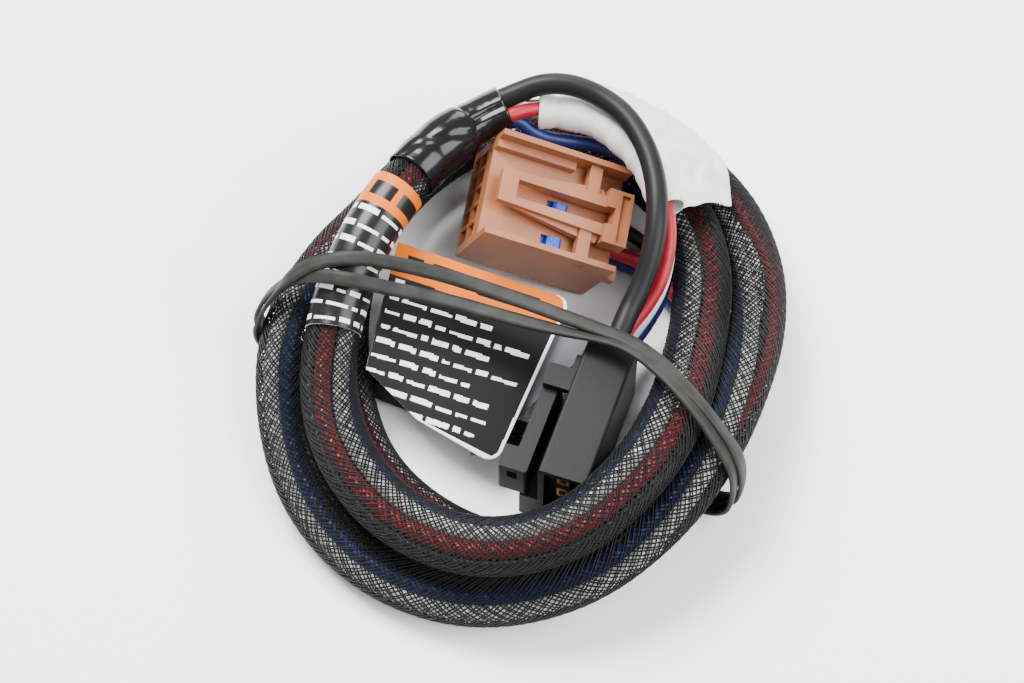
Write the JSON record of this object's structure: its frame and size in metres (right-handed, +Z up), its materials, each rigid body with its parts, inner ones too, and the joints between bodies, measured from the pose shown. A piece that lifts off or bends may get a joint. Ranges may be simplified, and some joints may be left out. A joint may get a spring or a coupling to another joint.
{
  "type": "trailer brake wiring adapter",
  "caption": "Coiled braided wiring adapter that joins a vehicle's brake-control socket to a trailer brake controller, with a brown latched plug and a black side-latch plug.",
  "frame": {"origin": "middle of the coil's footprint on the ground plane", "axes": "+Z up out of the ground plane, +Y along the coil's longer side towards the heat-shrink end, +X to the right"},
  "size_m": [0.097, 0.1122, 0.0308],
  "materials": {
    "sleeve_braid": "open braid of black filament, satin",
    "wire_black": "insulation, satin",
    "wire_red": "insulation, satin",
    "wire_blue": "insulation, satin",
    "wire_white": "insulation, satin",
    "lead_jacket": "soft jacket, satin",
    "contact_brass": "stamped, bright",
    "heat_shrink": "shrunk tube, glossy and wrinkled",
    "plug_black": "moulded, fine texture",
    "latch_black": "moulded, fine texture",
    "plug_brown": "moulded, terracotta brown",
    "latch_brown": "moulded, terracotta brown",
    "lock_blue": "moulded, royal blue",
    "label_film": "clear laminate over print",
    "label_print": "laminated print, orange band over black",
    "label_back": "grey adhesive ply",
    "marker_film": "white film, creased",
    "band_rubber": "flat band, matte"
  },
  "bodies": {
    "harness": {"braided_sleeve": "sleeve_braid", "controller_lead_black": "lead_jacket", "controller_lead_blue": "wire_blue", "controller_lead_red": "wire_red", "controller_lead_white": "wire_white", "controller_plug_housing": "plug_black", "controller_terminal_black": "contact_brass", "controller_terminal_blue": "contact_brass", "controller_terminal_red": "contact_brass", "controller_terminal_white": "contact_brass", "heat_shrink_lead_exit": "heat_shrink", "heat_shrink_loom_end": "heat_shrink", "heat_shrink_vehicle_end": "heat_shrink", "label_backing": "label_back", "loom_wire_black": "wire_black", "loom_wire_blue": "wire_blue", "loom_wire_red": "wire_red", "loom_wire_white": "wire_white", "marker_label": "marker_film", "marker_label_flag": "marker_film", "printed_label": "label_film", "printed_label_flag": "label_print", "rubber_band": "band_rubber", "vehicle_lead_black": "wire_black", "vehicle_lead_blue": "wire_blue", "vehicle_lead_red": "wire_red", "vehicle_lead_white": "wire_white", "vehicle_plug_housing": "plug_brown", "vehicle_terminal_black": "contact_brass", "vehicle_terminal_blue": "contact_brass", "vehicle_terminal_red": "contact_brass", "vehicle_terminal_white": "contact_brass"},
    "vehicle_latch": {"vehicle_plug_latch": "latch_brown"},
    "vehicle_lock": {"vehicle_plug_lock": "lock_blue"},
    "controller_latch": {"controller_plug_latch": "latch_black"}
  },
  "joints": [
    {"name": "vehicle_latch_rock", "type": "hinge", "parent": "harness", "child": "vehicle_latch", "pos_m": [0.01238, 0.02053, 0.01762], "axis": [0.1801, 0.9649, 0.1911], "range_deg": [0, 8], "stiffness_Nm_per_rad": 0.3},
    {"name": "vehicle_lock_slide", "type": "slide", "parent": "harness", "child": "vehicle_lock", "axis": [-0.9203, 0.0967, 0.379], "range_m": [0, 0.001]},
    {"name": "controller_latch_press", "type": "hinge", "parent": "harness", "child": "controller_latch", "pos_m": [0.00596, -0.0146, 0.0142], "axis": [0, 0, 1], "range_deg": [0, 5], "stiffness_Nm_per_rad": 1}
  ]
}
